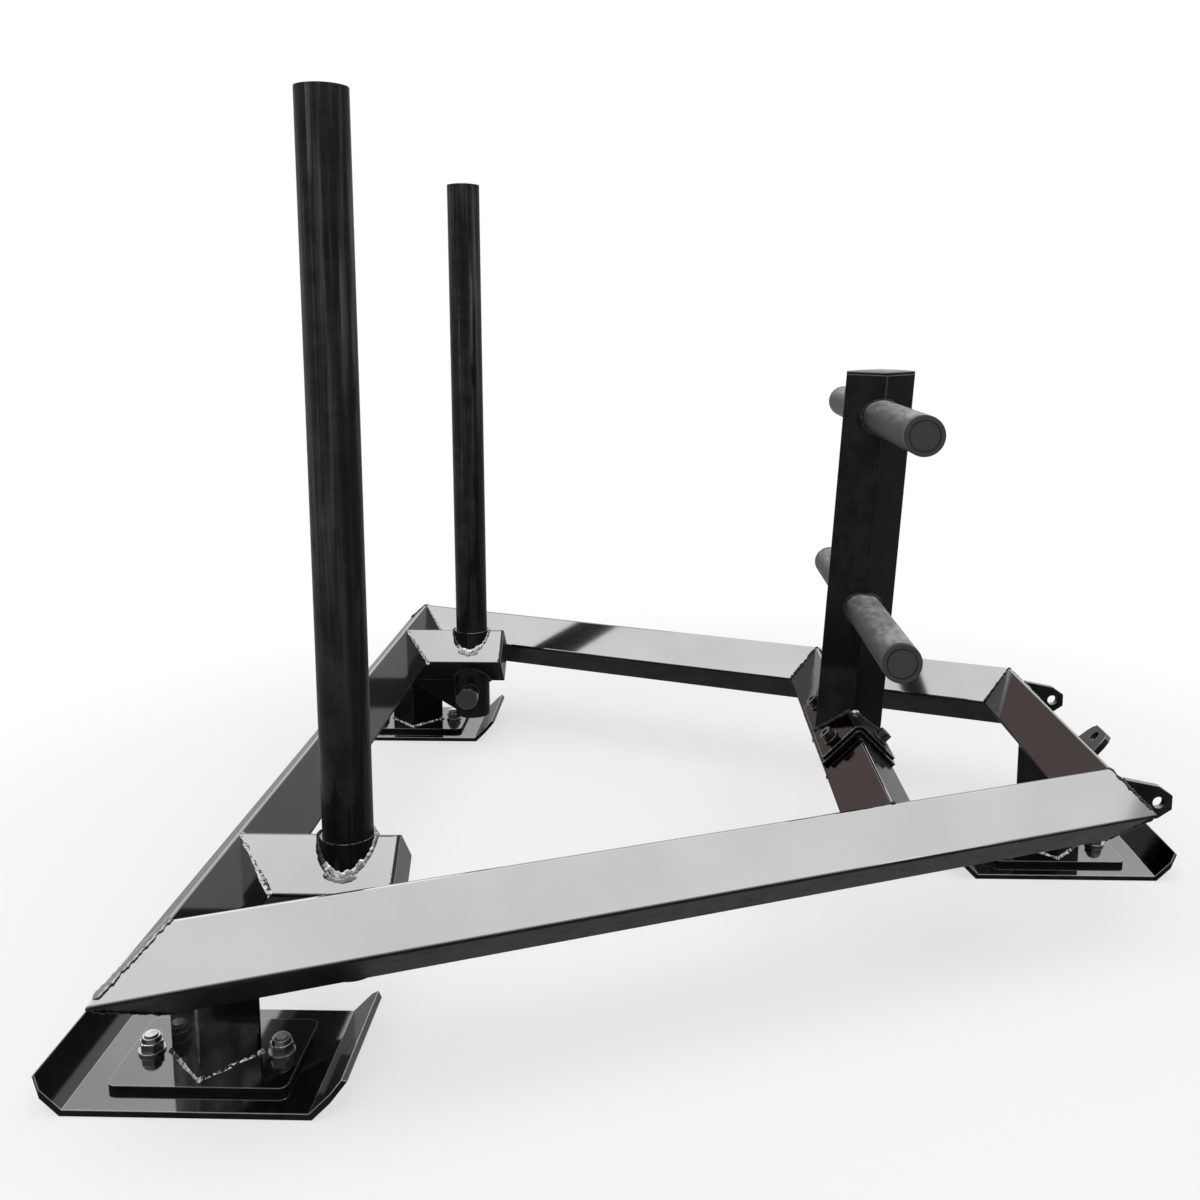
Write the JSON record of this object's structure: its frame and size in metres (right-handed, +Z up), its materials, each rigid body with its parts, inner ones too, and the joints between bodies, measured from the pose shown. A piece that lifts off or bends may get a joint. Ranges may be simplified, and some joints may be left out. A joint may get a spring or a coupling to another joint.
{
  "type": "weight sled",
  "caption": "Tapered square-tube push and drag sled on bolted skids, with lift-out push poles locked by screw knobs and a bolted mast with cross handles.",
  "frame": {"origin": "on the ground, on the centre line, midway between the rear rail's and the front rail's axes", "axes": "+X forwards, from the wide pushed end to the narrow towed end; +Y to the left; +Z up"},
  "size_m": [1.1746, 1.1796, 0.88],
  "materials": {
    "gloss_black": "gloss black powder coat over welded steel",
    "knurled_steel": "fine knurled and brushed bare steel",
    "zinc": "bright zinc plate",
    "black_oxide": "satin black oxide",
    "dark_plastic": "dark grey moulded plastic"
  },
  "bodies": {
    "sled": {"rear_rail": "gloss_black", "front_rail": "gloss_black", "mid_rail": "gloss_black", "left_side_rail": "gloss_black", "right_side_rail": "gloss_black", "left_stub": "gloss_black", "right_stub": "gloss_black", "left_stub_cap": "gloss_black", "right_stub_cap": "gloss_black", "left_socket": "gloss_black", "right_socket": "gloss_black", "left_gusset": "gloss_black", "right_gusset": "gloss_black", "left_lock_boss": "gloss_black", "right_lock_boss": "gloss_black", "rail_saddle": "gloss_black", "mast_saddle": "gloss_black", "mast": "gloss_black", "mast_cap": "gloss_black", "saddle_screws": "black_oxide", "saddle_washers": "zinc", "saddle_nuts": "zinc", "upper_handle": "knurled_steel", "lower_handle": "knurled_steel", "upper_left_plug": "dark_plastic", "upper_right_plug": "dark_plastic", "lower_left_plug": "dark_plastic", "lower_right_plug": "dark_plastic", "left_leg": "gloss_black", "right_leg": "gloss_black", "front_leg": "gloss_black", "left_foot_plate": "gloss_black", "right_foot_plate": "gloss_black", "front_foot_plate": "gloss_black", "left_skid": "gloss_black", "right_skid": "gloss_black", "front_skid": "gloss_black", "left_skid_bolts": "zinc", "right_skid_bolts": "zinc", "front_skid_bolts": "zinc", "left_skid_washers": "zinc", "right_skid_washers": "zinc", "front_skid_washers": "zinc", "left_skid_nuts": "zinc", "right_skid_nuts": "zinc", "front_skid_nuts": "zinc", "left_tow_lug": "gloss_black", "right_tow_lug": "gloss_black", "centre_tow_lug": "gloss_black"},
    "left_pole": {"left_pole": "gloss_black", "left_pole_cap": "gloss_black"},
    "right_pole": {"right_pole": "gloss_black", "right_pole_cap": "gloss_black"},
    "left_lock_screw": {"left_lock_screw": "black_oxide"},
    "right_lock_screw": {"right_lock_screw": "black_oxide"},
    "left_lock_knob": {"left_lock_knob": "dark_plastic"},
    "right_lock_knob": {"right_lock_knob": "dark_plastic"}
  },
  "joints": [
    {"name": "left_pole_lift", "type": "slide", "parent": "sled", "child": "left_pole", "axis": [0, 0, 1], "range_m": [0, 0.15]},
    {"name": "left_lock_travel", "type": "slide", "parent": "sled", "child": "left_lock_screw", "axis": [0, -1, 0], "range_m": [0, 0.009]},
    {"name": "left_lock_turn", "type": "hinge", "parent": "left_lock_screw", "child": "left_lock_knob", "pos_m": [-0.344, 0.314, 0.092], "axis": [0, -1, 0], "range_deg": [0, 1800]},
    {"name": "right_pole_lift", "type": "slide", "parent": "sled", "child": "right_pole", "axis": [0, 0, 1], "range_m": [0, 0.15]},
    {"name": "right_lock_travel", "type": "slide", "parent": "sled", "child": "right_lock_screw", "axis": [0, 1, 0], "range_m": [0, 0.009]},
    {"name": "right_lock_turn", "type": "hinge", "parent": "right_lock_screw", "child": "right_lock_knob", "pos_m": [-0.344, -0.314, 0.092], "axis": [0, 1, 0], "range_deg": [0, 1800]}
  ],
  "couplings": [
    {"joint": "left_lock_travel", "follows": "left_lock_turn", "m_per_rad": 0.0002785},
    {"joint": "right_lock_travel", "follows": "right_lock_turn", "m_per_rad": 0.0002785}
  ]
}
